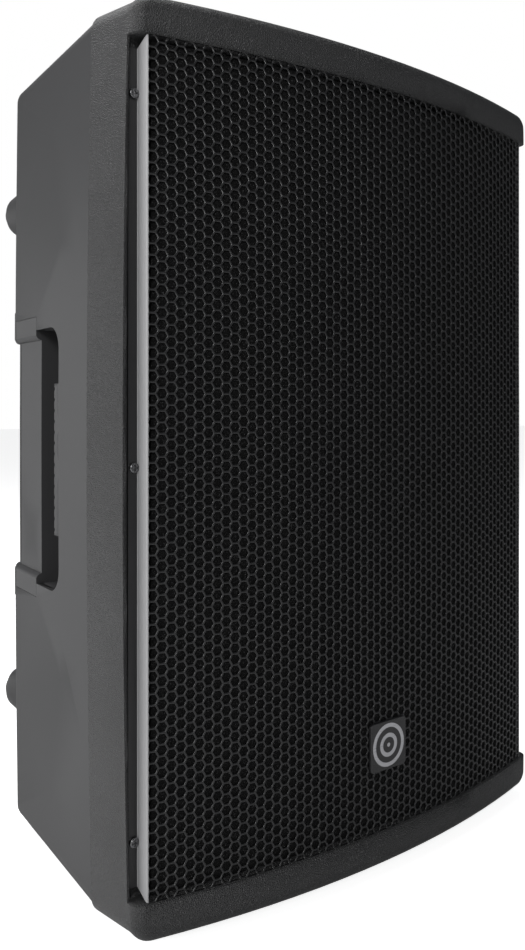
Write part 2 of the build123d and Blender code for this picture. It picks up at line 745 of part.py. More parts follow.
def dome(radius, rise, seat):
    return [
        (radius * (1 - i / dome_steps), seat - rise * (1 - (1 - i / dome_steps) ** 2))
        for i in range(dome_steps + 1)
    ]


cap_seat = cone_face(cap_radius) - 0.1
cap_inside = dome(cap_radius - cap_skin, cap_rise - cap_skin, cap_seat)
save(turned(dome(cap_radius, cap_rise, cap_seat) + cap_inside[::-1], 0, woofer_z), "dust_cap")

former_inner = coil_mid - 0.3
voice_coil = turned([
    (former_inner, cone_back - 4), (coil_mid + 0.1, cone_back - 4), (coil_mid + 0.1, magnet_front - 5),
    (coil_mid + 0.6, magnet_front - 5), (coil_mid + 0.6, magnet_front + 12), (former_inner, magnet_front + 12),
], 0, woofer_z)
save(voice_coil, "voice_coil")

spider_from_front = magnet_front - 20.0
spider_outer = 88.0
spider_steps = 12
spider_points = []
for i in range(spider_steps + 1):
    spider_r = coil_mid + 0.1 + (spider_outer - coil_mid - 0.1) / spider_steps * i
    spider_points.append((spider_r, spider_from_front + (1.6 if i % 2 else -1.6)))
spider_back = [(r, f + 0.8) for r, f in reversed(spider_points)]
save(turned(spider_points + spider_back, 0, woofer_z), "woofer_spider")

pole_radius = 24.2
gap_outer = 26.8
save(turned([
    (gap_outer, magnet_front), (62, magnet_front), (62, magnet_front + top_plate),
    (gap_outer, magnet_front + top_plate),
], 0, woofer_z), "woofer_top_plate")
magnet_back = magnet_front + top_plate + magnet_thickness
save(turned([
    (36, magnet_front + top_plate), (78, magnet_front + top_plate), (78, magnet_back), (36, magnet_back),
], 0, woofer_z), "woofer_magnet")
save(turned([
    (6, magnet_front), (pole_radius, magnet_front), (pole_radius, magnet_back), (73, magnet_back),
    (73, magnet_back + back_plate - 2), (71, magnet_back + back_plate), (6, magnet_back + back_plate),
], 0, woofer_z), "woofer_pole_piece")

# ---------------------------------------------------------------- horn and compression driver
throat_radius = 18.0
throat_from_front = baffle_front + 95.0
horn_wall = 3.0
with BuildSketch(facing_plane(horn_flange_front)) as mouth_in:
    with Locations((0, horn_z)):
        RectangleRounded(horn_hole[0] - 8, horn_hole[1] - 8, 14)
with BuildSketch(facing_plane(horn_flange_front)) as mouth_out:
    with Locations((0, horn_z)):
        RectangleRounded(horn_hole[0] - 1, horn_hole[1] - 1, 14)
with BuildSketch(facing_plane(throat_from_front)) as throat_in:
    with Locations((0, horn_z)):
        RectangleRounded(2 * throat_radius, 2 * throat_radius, throat_radius - 0.5)
with BuildSketch(facing_plane(throat_from_front)) as throat_out:
    with Locations((0, horn_z)):
        RectangleRounded(2 * throat_radius + 2 * horn_wall, 2 * throat_radius + 2 * horn_wall,
                         throat_radius + horn_wall - 0.5)
with BuildPart() as horn_waveguide:
    loft(sections=(mouth_out.sketch, throat_out.sketch), ruled=True)
    add(rounded_box(
        (-horn_width / 2, y_at(horn_flange_front), horn_z - horn_height / 2),
        (horn_width / 2, y_at(baffle_front), horn_z + horn_height / 2), 8.0).part)
    add(turned([(0, throat_from_front - 5), (45, throat_from_front - 5), (45, throat_from_front),
                (0, throat_from_front)], 0, horn_z).part)
    loft(sections=(mouth_in.sketch, throat_in.sketch), ruled=True, mode=Mode.SUBTRACT)
    with Locations([Location(p, faces_front) for p in horn_screw_places]):
        Cylinder(2.1, 30, mode=Mode.SUBTRACT)
save(horn_waveguide, "horn_waveguide")
save(copies(screw(3.6, 2.2, thread_radius, 10.0), horn_screw_places, faces_front), "horn_screws")

driver_radius = 52.0
driver_back = throat_from_front + 36.0
save(turned([
    (throat_radius, throat_from_front), (driver_radius, throat_from_front), (driver_radius, driver_back),
    (30, driver_back), (30, driver_back - 8), (throat_radius, throat_from_front + 14),
], 0, horn_z), "driver_body")
save(turned([
    (0, driver_back - 7.2), (14, driver_back - 5.0), (22, driver_back - 0.9), (29.5, driver_back - 0.9),
    (29.5, driver_back - 0.2), (21.7, driver_back - 0.2), (13.7, driver_back - 4.2), (0, driver_back - 6.4),
], 0, horn_z), "driver_diaphragm")
save(turned([
    (31, driver_back), (driver_radius - 4, driver_back), (driver_radius - 4, driver_back + 12),
    (driver_radius - 10, driver_back + 17), (0, driver_back + 17), (0, driver_back + 14),
    (driver_radius - 12, driver_back + 14), (31, driver_back + 6),
], 0, horn_z), "driver_rear_cover")

# ---------------------------------------------------------------- port tubes and damping
port_length = 84.0
with BuildPart() as port_tubes:
    for side in (-1, 1):
        add(turned([
            (port_radius, baffle_front - 3), (port_radius + 6, baffle_front - 3),
            (port_radius + 6, baffle_front), (port_radius + 2, baffle_front),
            (port_radius + 2, baffle_front + port_length), (port_radius, baffle_front + port_length),
        ], side * port_spread, port_z).part)
save(port_tubes, "port_tubes")

damping_thickness = 24.0
damping_half_width = 140.0
damping_rear = insert_from_front - insert_radius - 8
damping_top = shell_high(damping_rear) - wall - 0.5
save(rounded_box(
    (-damping_half_width, y_at(shell_front + flange_thickness + 2), damping_top - damping_thickness),
    (damping_half_width, y_at(damping_rear), damping_top)), "damping_pad")

# ---------------------------------------------------------------- threaded inserts
insert_length = 16.0
thread_bore = 4.0
with BuildPart() as fly_inserts:
    with Locations([(x, y, insert_high) for x, y in insert_places]):
        Cylinder(insert_radius, insert_high - insert_seat + 0.5, align=(Align.CENTER, Align.CENTER, Align.MAX))
    with Locations([(x, y, insert_seat) for x, y in insert_places]):
        Cylinder(insert_radius + 2.5, insert_length - insert_high + insert_seat,
                 align=(Align.CENTER, Align.CENTER, Align.MAX))
    with Locations([(x, y, insert_high + 0.1) for x, y in insert_places]):
        Cylinder(thread_bore, insert_length + 2, align=(Align.CENTER, Align.CENTER, Align.MAX),
                 mode=Mode.SUBTRACT)
save(fly_inserts, "fly_inserts")

# ---------------------------------------------------------------- amplifier panel layout
knob_radius = 9.0
knob_row = 48.0  # above the panel's middle
knob_columns = [-72.0, -24.0, 24.0, 72.0]
knob_names = ["input_1_knob", "input_2_knob", "bass_knob", "treble_knob"]
knob_gap = 0.8
knob_height = 10.0
shaft_radius = 3.0
bushing_radius = 4.5
running_gap = 0.05
jack_row = 112.0
jack_columns = {"input_jack_1": -62.0, "input_jack_2": 0.0}
output_column = 62.0
jack_half_width = 13.0
jack_half_height = 15.5
jack_plate = 2.0
barrel_radius = 11.5
plug_radius = 9.3
tab_half_width = 3.0
tab_row = plug_radius + 2.8  # latch tab above the middle of its socket
button_row = 80.0
button_columns = [-62.0, 0.0]
button_radius = 2.9
led_columns = [48.0, 62.0, 76.0]
led_radius = 1.6
sink_half_width = 84.0
sink_row = -34.0
sink_height = 114.0
sink_fin = 1.8
sink_fin_count = 17
mains_row = -120.0
inlet_column = -58.0
switch_column = 52.0
inlet_half_width = 15.5
inlet_half_height = 18.5
switch_half_width = 11.0
switch_half_height = 15.0


def on_panel(column, row, from_front=panel_face):
    return (column, y_at(from_front), panel_z + row)


def panel_box(column, row, half_width_, half_height_, from_front, to_front, radius=0.0):
    return rounded_box(
        (column - half_width_, y_at(from_front), panel_z + row - half_height_),
        (column + half_width_, y_at(to_front), panel_z + row + half_height_), radius,
    )


with BuildPart() as amp_panel:
    add(panel_box(0, 0, panel_width / 2 - fit_gap, panel_height / 2 - fit_gap, recess_floor, panel_face,
                  6.5).part)
    rear_holes = [
        ([on_panel(c, knob_row) for c in knob_columns], bushing_radius),
        ([on_panel(c, jack_row) for c in list(jack_columns.values()) + [output_column]], barrel_radius),
        ([on_panel(c, button_row) for c in button_columns], button_radius + 0.3),
        ([on_panel(c, button_row) for c in led_columns], led_radius),
        ([(x, y_at(panel_face), z) for x, z in panel_screw_places], thread_radius + 0.2),
    ]
    for places, radius in rear_holes:
        with Locations([Location(p, faces_rear) for p in places]):
            Cylinder(radius, 4 * panel_thickness, mode=Mode.SUBTRACT)
    add(panel_box(inlet_column, mains_row, inlet_half_width - 2, inlet_half_height - 2,
                  recess_floor - 1, panel_face + 1).part, mode=Mode.SUBTRACT)
    add(panel_box(switch_column, mains_row, switch_half_width - 1.5, switch_half_height - 1.5,
                  recess_floor - 1, panel_face + 1).part, mode=Mode.SUBTRACT)
    for column in jack_columns.values():
        add(panel_box(column, jack_row + tab_row, tab_half_width + 0.5, 1.8, recess_floor - 1,
                      panel_face + 1).part, mode=Mode.SUBTRACT)
save(amp_panel, "amp_panel")
panel_screw = screw(3.4, 2.0, thread_radius, panel_thickness + wall - 1)
save(copies(panel_screw, [(x, y_at(panel_face), z) for x, z in panel_screw_places], faces_rear),
     "panel_screws")

with BuildPart() as heatsink:
    add(panel_box(0, sink_row, sink_half_width, sink_height / 2, panel_face, panel_face + 3).part)
    pitch = (2 * sink_half_width - sink_fin) / (sink_fin_count - 1)
    for i in range(sink_fin_count):
        add(panel_box(-sink_half_width + sink_fin / 2 + pitch * i, sink_row, sink_fin / 2, sink_height / 2,
                      panel_face + 2, rear_face - 1).part)
save(heatsink, "heatsink")

chassis_depth = 68.0
chassis_half_width = amp_hole[0] / 2 - 4
chassis_half_height = amp_hole[1] / 2 - 4
sheet = 1.2
with BuildPart() as amp_chassis:
    add(panel_box(0, 0, chassis_half_width, chassis_half_height, recess_floor - chassis_depth,
                  recess_floor).part)
    add(panel_box(0, 0, chassis_half_width - sheet, chassis_half_height - sheet,
                  recess_floor - chassis_depth + sheet, recess_floor + 1).part, mode=Mode.SUBTRACT)
save(amp_chassis, "amp_chassis")

board_from_front = recess_floor - 40.0
with BuildPart() as circuit_board:
    add(panel_box(0, 52, chassis_half_width - 6, 84, board_from_front, board_from_front + 1.6).part)
    for column, row, size, height in ((-60, 0, 12, 18), (-20, -5, 9, 14), (20, 0, 12, 18), (60, 5, 9, 12)):
        add(panel_box(column, row, size, size, board_from_front - height, board_from_front).part)
save(circuit_board, "circuit_board")
save(turned([
    (12, recess_floor - 62), (42, recess_floor - 62), (45, recess_floor - 58), (45, recess_floor - 30),
    (42, recess_floor - 26), (12, recess_floor - 26),
], 0, panel_z - 88), "power_transformer")

# ---------------------------------------------------------------- knobs and their controls
pot_half = 8.0
with BuildPart() as potentiometers:
    for column in knob_columns:
        add(panel_box(column, knob_row, pot_half, pot_half, recess_floor - 10, recess_floor).part)
        add(turned([(0, recess_floor - 0.5), (bushing_radius - 0.05, recess_floor - 0.5),
                    (bushing_radius - 0.05, panel_face + 0.3), (0, panel_face + 0.3)],
                   column, panel_z + knob_row).part)
    with Locations([Location(on_panel(c, knob_row, recess_floor - 7), faces_rear) for c in knob_columns]):
        Cylinder(shaft_radius + running_gap, 40, align=(Align.CENTER, Align.CENTER, Align.MIN),
                 mode=Mode.SUBTRACT)
save(potentiometers, "potentiometers")

knob_back = panel_face + knob_gap
flute_count = 12
flute_radius = 1.1
for column, name in zip(knob_columns, knob_names):
    with BuildPart() as knob:
        with BuildSketch(facing_plane(knob_back)):
            with Locations((column, panel_z + knob_row)):
                Circle(knob_radius)
                with PolarLocations(knob_radius + 0.4, flute_count):
                    Circle(flute_radius, mode=Mode.SUBTRACT)
        extrude(amount=-knob_height)
        with Locations(Location(on_panel(column, knob_row, recess_floor - 6), faces_rear)):
            Cylinder(shaft_radius, knob_back - recess_floor + 7,
                     align=(Align.CENTER, Align.CENTER, Align.MIN))
        with Locations(on_panel(column, knob_row + knob_radius * 0.5, knob_back + knob_height)):
            Box(1.0, 1.2, knob_radius * 0.6, mode=Mode.SUBTRACT)
    save(knob, name)

for column, number in zip(button_columns, (1, 2)):
    save(turned([
        (0, recess_floor - 5), (button_radius, recess_floor - 5), (button_radius, panel_face + 3.7),
        (button_radius - 0.4, panel_face + 4.1), (0, panel_face + 4.1),
    ], column, panel_z + button_row), f"line_button_{number}")
with BuildPart() as button_switches:
    for column in button_columns:
        add(panel_box(column, button_row, 5, 5, recess_floor - 14, recess_floor).part)
    with Locations([Location(on_panel(c, button_row, recess_floor - 9), faces_rear) for c in button_columns]):
        Cylinder(button_radius + 0.3, 20, align=(Align.CENTER, Align.CENTER, Align.MIN),
                 mode=Mode.SUBTRACT)
save(button_switches, "button_switches")

with BuildPart() as indicator_leds:
    for column in led_columns:
        add(turned([
            (0, recess_floor - 3), (led_radius - 0.02, recess_floor - 3),
            (led_radius - 0.02, panel_face + 0.4), (led_radius * 0.6, panel_face + 1.3),
            (0, panel_face + 1.5),
        ], column, panel_z + button_row).part)
save(indicator_leds, "indicator_leds")

# ---------------------------------------------------------------- sockets

def jack_body(column):
    """Square plate with a round barrel behind the panel."""
    with BuildPart() as body:
        add(panel_box(column, jack_row, jack_half_width, jack_half_height, panel_face,
                      panel_face + jack_plate, 2.0).part)
        add(turned([(0, recess_floor - 18), (barrel_radius - 0.1, recess_floor - 18),
                    (barrel_radius - 0.1, panel_face + 1), (0, panel_face + 1)],
                   column, panel_z + jack_row).part)
    return body


for name, column in jack_columns.items():
    with BuildPart() as jack:
        add(jack_body(column).part)
        with Locations(Location(on_panel(column, jack_row, recess_floor - 13), faces_rear)):
            Cylinder(plug_radius, 30, align=(Align.CENTER, Align.CENTER, Align.MIN), mode=Mode.SUBTRACT)
        with Locations(Location(on_panel(column, jack_row, recess_floor - 13), faces_rear)):
            Cylinder(5.2, 9, align=(Align.CENTER, Align.CENTER, Align.MIN))
        with Locations(Location(on_panel(column, jack_row, recess_floor - 15), faces_rear)):
            Cylinder(3.3, 30, align=(Align.CENTER, Align.CENTER, Align.MIN), mode=Mode.SUBTRACT)
        add(panel_box(column, jack_row + tab_row, tab_half_width + 0.3, 1.5, panel_face - 3,
                      panel_face + jack_plate + 1).part, mode=Mode.SUBTRACT)
    save(jack, name)
    save(panel_box(column, jack_row + tab_row, tab_half_width, 1.2, panel_face - 0.7,
                   panel_face + jack_plate + 1.8, 0.5), f"latch_tab_{name[-1]}")

with BuildPart() as output_jack:
    add(jack_body(output_column).part)
    with Locations(Location(on_panel(output_column, jack_row, recess_floor - 12), faces_rear)):
        Cylinder(plug_radius, 30, align=(Align.CENTER, Align.CENTER, Align.MIN), mode=Mode.SUBTRACT)
    for angle in (30, 150, 270):
        place = on_panel(output_column + 4.2 * cos(radians(angle)),
                         jack_row + 4.2 * sin(radians(angle)), recess_floor - 13)
        with Locations(Location(place, faces_rear)):
            Cylinder(1.2, 11, align=(Align.CENTER, Align.CENTER, Align.MIN))
save(output_jack, "output_jack")

# ---------------------------------------------------------------- mains inlet, fuse drawer and switch
inlet_plate = 2.0
inlet_low = mains_row + 4.0
drawer_row = mains_row - inlet_half_height + 7.0
drawer_half_height = 3.2
drawer_half_width = 11.0
drawer_depth = 20.0
with BuildPart() as power_inlet:
    add(panel_box(inlet_column, mains_row, inlet_half_width, inlet_half_height, panel_face,
                  panel_face + inlet_plate, 2.0).part)
    add(panel_box(inlet_column, mains_row, inlet_half_width - 2.2, inlet_half_height - 2.2,
                  recess_floor - 24, panel_face + 1).part)
    add(panel_box(inlet_column, inlet_low, 11.8, 8.2, recess_floor - 14, panel_face + inlet_plate + 1,
                  3.0).part, mode=Mode.SUBTRACT)
    add(panel_box(inlet_column, drawer_row, drawer_half_width + fit_gap, drawer_half_height + fit_gap,
                  recess_floor - 19, panel_face + inlet_plate + 1).part, mode=Mode.SUBTRACT)
    for column, row in ((-7, -1.5), (0, 2.5), (7, -1.5)):
        add(panel_box(inlet_column + column, inlet_low + row, 1.0, 2.0, recess_floor - 15,
                      panel_face - 3).part)
save(power_inlet, "power_inlet")
with BuildPart() as fuse_drawer:
    add(panel_box(inlet_column, drawer_row, drawer_half_width, drawer_half_height,
                  panel_face + inlet_plate + 0.8 - drawer_depth, panel_face + inlet_plate + 0.8, 0.6).part)
    add(panel_box(inlet_column, drawer_row + 1, drawer_half_width - 2, drawer_half_height,
                  panel_face + inlet_plate - drawer_depth + 3, panel_face + inlet_plate - 3).part,
        mode=Mode.SUBTRACT)
save(fuse_drawer, "fuse_drawer")

rocker_half = 9.0
rocker_half_width = 7.0
rocker_tilt = 8.0
rocker_pivot = panel_face - 3.0
rocker_pin = 1.5
window_half = 11.7
with BuildPart() as switch_frame:
    add(panel_box(switch_column, mains_row, switch_half_width, switch_half_height, panel_face,
                  panel_face + 2.0, 1.5).part)
    add(panel_box(switch_column, mains_row, switch_half_width - 1.7, switch_half_height - 1.7,
                  recess_floor - 20, panel_face + 1).part)
    add(panel_box(switch_column, mains_row, rocker_half_width + 0.3, window_half, recess_floor - 12,
                  panel_face + 3).part, mode=Mode.SUBTRACT)
    with Locations(Location(on_panel(switch_column, mains_row, rocker_pivot), (0, 90, 0))):
        Cylinder(rocker_pin + running_gap, 2 * rocker_half_width + 2.6, mode=Mode.SUBTRACT)
save(switch_frame, "switch_frame")

tilt = radians(rocker_tilt)
rocker_plane = Plane(
    origin=on_panel(switch_column, mains_row, rocker_pivot), x_dir=(0, cos(tilt), sin(tilt)), z_dir=(1, 0, 0)
)
with BuildPart() as power_rocker:
    with BuildSketch(rocker_plane):
        with BuildLine():
            Polyline(
                (6.6, -rocker_half), (5.2, 0), (6.6, rocker_half), (1.0, rocker_half), (-4.0, 3.0),
                (-4.0, -3.0), (1.0, -rocker_half), close=True,
            )
        make_face()
    extrude(amount=rocker_half_width, both=True)
    with Locations(Location(on_panel(switch_column, mains_row, rocker_pivot), (0, 90, 0))):
        Cylinder(rocker_pin, 2 * rocker_half_width + 2.0)
save(power_rocker, "power_rocker")
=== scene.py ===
import json
import math

import bmesh
import bpy
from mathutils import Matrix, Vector, noise

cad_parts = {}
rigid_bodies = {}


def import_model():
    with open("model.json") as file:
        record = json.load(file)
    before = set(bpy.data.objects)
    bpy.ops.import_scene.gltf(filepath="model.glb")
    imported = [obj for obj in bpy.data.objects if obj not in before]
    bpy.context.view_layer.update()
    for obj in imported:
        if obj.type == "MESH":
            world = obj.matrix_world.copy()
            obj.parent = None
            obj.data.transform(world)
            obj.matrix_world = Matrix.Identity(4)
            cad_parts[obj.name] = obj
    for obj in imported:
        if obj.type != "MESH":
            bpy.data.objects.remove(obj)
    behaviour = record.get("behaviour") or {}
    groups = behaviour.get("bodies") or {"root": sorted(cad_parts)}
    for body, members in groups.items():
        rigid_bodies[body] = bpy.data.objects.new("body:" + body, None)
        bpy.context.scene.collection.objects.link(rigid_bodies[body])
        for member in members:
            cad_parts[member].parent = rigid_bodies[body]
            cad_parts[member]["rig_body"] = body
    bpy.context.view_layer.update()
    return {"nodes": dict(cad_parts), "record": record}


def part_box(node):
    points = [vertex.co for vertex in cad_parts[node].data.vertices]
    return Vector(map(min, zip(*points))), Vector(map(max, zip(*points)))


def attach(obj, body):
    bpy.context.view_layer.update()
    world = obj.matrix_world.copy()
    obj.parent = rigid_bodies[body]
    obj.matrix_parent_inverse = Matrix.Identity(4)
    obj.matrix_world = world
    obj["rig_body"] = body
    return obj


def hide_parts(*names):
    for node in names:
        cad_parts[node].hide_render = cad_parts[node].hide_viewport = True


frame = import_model()
nodes = frame["nodes"]
print("frame loaded:", len(nodes), "nodes")


# ---- shader maths on sockets
class Flow:
    def __init__(self, finish, socket):
        self.finish = finish
        self.socket = socket

    def maths(self, operation, first=None, second=None, third=None):
        first = self if first is None else first
        inputs = {i: v for i, v in enumerate((first, second, third)) if v is not None}
        return self.finish.node("ShaderNodeMath", {"operation": operation}, inputs)

    def __add__(self, other):
        return self.maths("ADD", self, other)

    def __sub__(self, other):
        return self.maths("SUBTRACT", self, other)

    def __rsub__(self, other):
        return self.maths("SUBTRACT", other, self)

    def __mul__(self, other):
        return self.maths("MULTIPLY", self, other)

    __radd__ = __add__
    __rmul__ = __mul__

    def between(self, low, high):
        return self.finish.node("ShaderNodeMapRange", {"interpolation_type": "SMOOTHSTEP"},
                                {"Value": self, "From Min": low, "From Max": high})


class Finish:
    def __init__(self, name, **constants):
        self.material = bpy.data.materials.new(name)
        self.material.use_nodes = True
        self.tree = self.material.node_tree
        self.shader = self.tree.nodes["Principled BSDF"]
        for socketName, value in constants.items():
            self.shader.inputs[socketName.replace("_", " ")].default_value = value
        self.place = self.node("ShaderNodeTexCoord", {}, {}, "Object")

    # one way to add any node: settings first, then its sockets
    def node(self, kind, settings, inputs, output=0):
        made = self.tree.nodes.new(kind)
        for key, value in settings.items():
            if key == "stops":
                ramp = made.color_ramp
                while len(ramp.elements) < len(value):
                    ramp.elements.new(0.5)
                for element, (position, colour) in zip(ramp.elements, value):
                    element.position = position
                    element.color = colour
            else:
                setattr(made, key, value)
        for key, value in inputs.items():
            self.feed(made.inputs[key], value)
        return Flow(self, made.outputs[output])

    def feed(self, socket, value):
        if isinstance(value, Flow):
            self.tree.links.new(value.socket, socket)
        else:
            socket.default_value = value

    def noise(self, scale, detail=2.0, roughness=0.5, where=None):
        return self.node("ShaderNodeTexNoise", {}, {
            "Vector": where or self.place, "Scale": scale, "Detail": detail, "Roughness": roughness})

    def cells(self, scale, feature="F1", randomness=1.0, where=None):
        return self.node("ShaderNodeTexVoronoi", {"feature": feature}, {
            "Vector": where or self.place, "Scale": scale, "Randomness": randomness})

    def stretched(self, scale, centre=(0, 0, 0)):
        return self.node("ShaderNodeMapping", {"vector_type": "POINT"}, {
            "Vector": self.place, "Location": centre, "Scale": scale})

    def mixed(self, factor, first, second):
        made = self.tree.nodes.new("ShaderNodeMix")
        made.data_type = "RGBA"
        self.feed(made.inputs["Factor"], factor)
        self.feed(made.inputs[6], first)
        self.feed(made.inputs[7], second)
        return Flow(self, made.outputs[2])

    def bumped(self, height, strength, distance):
        return self.node("ShaderNodeBump", {}, {"Height": height, "Strength": strength, "Distance": distance})

    def edges(self, low=0.502, high=0.56):
        worn = self.node("ShaderNodeNewGeometry", {}, {}, "Pointiness")
        return worn.between(low, high)

    def surface(self, **sockets):
        for socketName, value in sockets.items():
            self.feed(self.shader.inputs[socketName.replace("_", " ")], value)
        return self.material


def shade(colour, factor):
    return tuple(min(c * factor, 1.0) for c in colour[:3]) + (1.0,)


# ---- finishes
def grainedPlastic(name, colour, rough, grain, bump, depth, gloss=0.35):
    f = Finish(name, Specular_IOR_Level=gloss)
    leather = f.cells(grain, "DISTANCE_TO_EDGE", 0.9) * 2.2
    leather = leather.between(0.0, 0.9)
    fine = f.noise(grain * 3.1, 2.0)
    cloud = f.noise(7.0, 3.0)
    worn = f.edges()
    tone = f.mixed(cloud, shade(colour, 0.88), shade(colour, 1.14))
    tone = f.mixed(leather * 0.35, tone, shade(colour, 1.35))
    tone = f.mixed(worn * 0.5, tone, shade(colour, 1.9))
    height = leather * 0.75 + fine * 0.25
    return f.surface(
        Base_Color=tone,
        Roughness=rough + (cloud - 0.5) * 0.1 + (0.5 - leather) * 0.14 - worn * 0.06,
        Normal=f.bumped(height, bump, depth))


def satinPlastic(name, colour, rough, grain=1500.0, bump=0.35, depth=0.00012, gloss=0.4):
    f = Finish(name, Specular_IOR_Level=gloss)
    spark = f.noise(grain, 3.0, 0.6)
    cloud = f.noise(6.0, 3.0)
    worn = f.edges()
    tone = f.mixed(cloud, shade(colour, 0.9), shade(colour, 1.1))
    tone = f.mixed(spark.between(0.45, 0.75) * 0.4, tone, shade(colour, 1.35))
    tone = f.mixed(worn * 0.4, tone, shade(colour, 1.8))
    return f.surface(Base_Color=tone, Roughness=rough + (cloud - 0.5) * 0.08 - worn * 0.08,
                     Normal=f.bumped(spark, bump, depth))


# the sheen band is a range of distances from the middle plane, at the grille's side returns, where the coat
# is painted lighter: a painted sheen in place of the reflection these black returns catch
def powderCoat(name, colour, rough, grain=1400.0, bump=0.25, paintedSheenBand=None):
    f = Finish(name, Specular_IOR_Level=0.5, Coat_Roughness=0.3)
    peel = f.noise(grain, 2.0)
    cloud = f.noise(11.0, 2.0)
    worn = f.edges()
    tone = f.mixed(cloud, shade(colour, 0.85), shade(colour, 1.15))
    tone = f.mixed(worn * 0.35, tone, shade(colour, 2.2))
    if paintedSheenBand:
        low, high = paintedSheenBand
        blur = 0.0003
        across = f.node("ShaderNodeSeparateXYZ", {}, {"Vector": f.place}).maths("ABSOLUTE")
        band = across.between(low, low + blur) * (1.0 - across.between(high, high + blur))
        # painted sheen: the returns' strip gets a pale grey base colour far above black powder coat, standing
        # in for a reflection
        tone = f.mixed(band, tone, (0.34, 0.34, 0.345, 1))
        rough = rough + band * 0.14
    return f.surface(Base_Color=tone, Roughness=rough + (cloud - 0.5) * 0.1 + (peel - 0.5) * 0.12,
                     Normal=f.bumped(peel, bump, 0.00008))


def bareMetal(name, colour, rough, brush=(40.0, 40.0, 2600.0)):
    f = Finish(name, Metallic=1.0)
    lines = f.noise(1.0, 3.0, 0.6, where=f.stretched(brush))
    cloud = f.noise(30.0, 2.0)
    worn = f.edges()
    tone = f.mixed(lines, shade(colour, 0.8), shade(colour, 1.15))
    tone = f.mixed(worn * 0.5, tone, shade(colour, 1.4))
    return f.surface(Base_Color=tone, Roughness=rough + (lines - 0.5) * 0.2 + (cloud - 0.5) * 0.1,
                     Normal=f.bumped(lines, 0.2, 0.00005))


def rubber(name, colour):
    f = Finish(name, Specular_IOR_Level=0.3)
    dust = f.noise(18.0, 4.0)
    pores = f.noise(2600.0, 2.0)
    tone = f.mixed(dust.between(0.45, 0.8) * 0.5, shade(colour, 1.0), shade(colour, 1.9))
    return f.surface(Base_Color=tone, Roughness=0.78 + (dust - 0.5) * 0.2,
                     Normal=f.bumped(pores, 0.4, 0.0001))


def openFoam(name, colour):
    f = Finish(name, Specular_IOR_Level=0.2)
    pores = f.cells(620.0, "F1")
    strands = f.cells(620.0, "DISTANCE_TO_EDGE")
    fine = f.noise(1100.0, 3.0)
    # painted highlights: specks on the foam strands are painted sixteen times lighter and smoother, as glints
    lit = (1.0 - strands.between(0.0, 0.1)) * fine.between(0.52, 0.7)
    # painted shade: the tone is darker at the pore centres, as shade inside the open pores
    tone = f.mixed(pores.between(0.0, 0.6), shade(colour, 0.4), shade(colour, 1.1))
    tone = f.mixed(lit, tone, shade(colour, 16.0))
    return f.surface(Base_Color=tone, Roughness=0.92 - lit * 0.25,
                     Normal=f.bumped(strands.between(0.0, 0.3) + fine * 0.3, 0.9, 0.0006))


def pressedPaper(name, colour):
    f = Finish(name, Specular_IOR_Level=0.25)
    fibre = f.noise(900.0, 5.0, 0.65)
    cloud = f.noise(24.0, 3.0)
    tone = f.mixed(fibre, shade(colour, 0.7), shade(colour, 1.5))
    return f.surface(Base_Color=tone, Roughness=0.85 + (cloud - 0.5) * 0.1,
                     Normal=f.bumped(fibre, 0.6, 0.0002))


def clearLens(name, colour):
    f = Finish(name, Specular_IOR_Level=0.6)
    glow = f.noise(700.0, 1.0)
    tone = f.mixed(glow, shade(colour, 0.7), shade(colour, 1.1))
    return f.surface(Base_Color=tone, Roughness=0.18 + (glow - 0.5) * 0.1,
                     Normal=f.bumped(glow, 0.1, 0.00005))


def woundWire(name, colour):
    f = Finish(name, Metallic=0.8)
    turns = f.node("ShaderNodeTexWave", {"wave_type": "BANDS", "bands_direction": "Y"}, {
        "Vector": f.place, "Scale": 320.0, "Distortion": 0.2})
    turns = Flow(f, turns.socket.node.outputs["Fac"])
    tone = f.mixed(turns, shade(colour, 0.5), shade(colour, 1.2))
    return f.surface(Base_Color=tone, Roughness=0.35 + turns * 0.2, Normal=f.bumped(turns, 0.6, 0.0004))


# the badge's mark is a dot in two rings, as a plain sign for sound
def markedPlate(name, ground, mark, rough):
    low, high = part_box("badge")
    centre = (low + high) / 2
    size = (high.z - low.z) / 2
    f = Finish(name, Specular_IOR_Level=0.6)
    flat = f.stretched((1 / size, 0.0, 1 / size), (-centre.x / size, 0.0, -centre.z / size))
    away = f.node("ShaderNodeVectorMath", {"operation": "LENGTH"}, {"Vector": flat}, "Value")
    wave = (away * 15.7).maths("COSINE")
    ring = wave.between(0.1, 0.4) * (1.0 - away.between(0.9, 0.94))
    brushed = f.noise(1.0, 2.0, where=f.stretched((60.0, 60.0, 3000.0)))
    tone = f.mixed(ring, shade(ground, 1.0), shade(mark, 1.0))
    return f.surface(Base_Color=tone, Roughness=rough + (brushed - 0.5) * 0.15, Metallic=ring * 0.6,
                     Normal=f.bumped(ring + brushed * 0.05, 0.6, 0.0003))


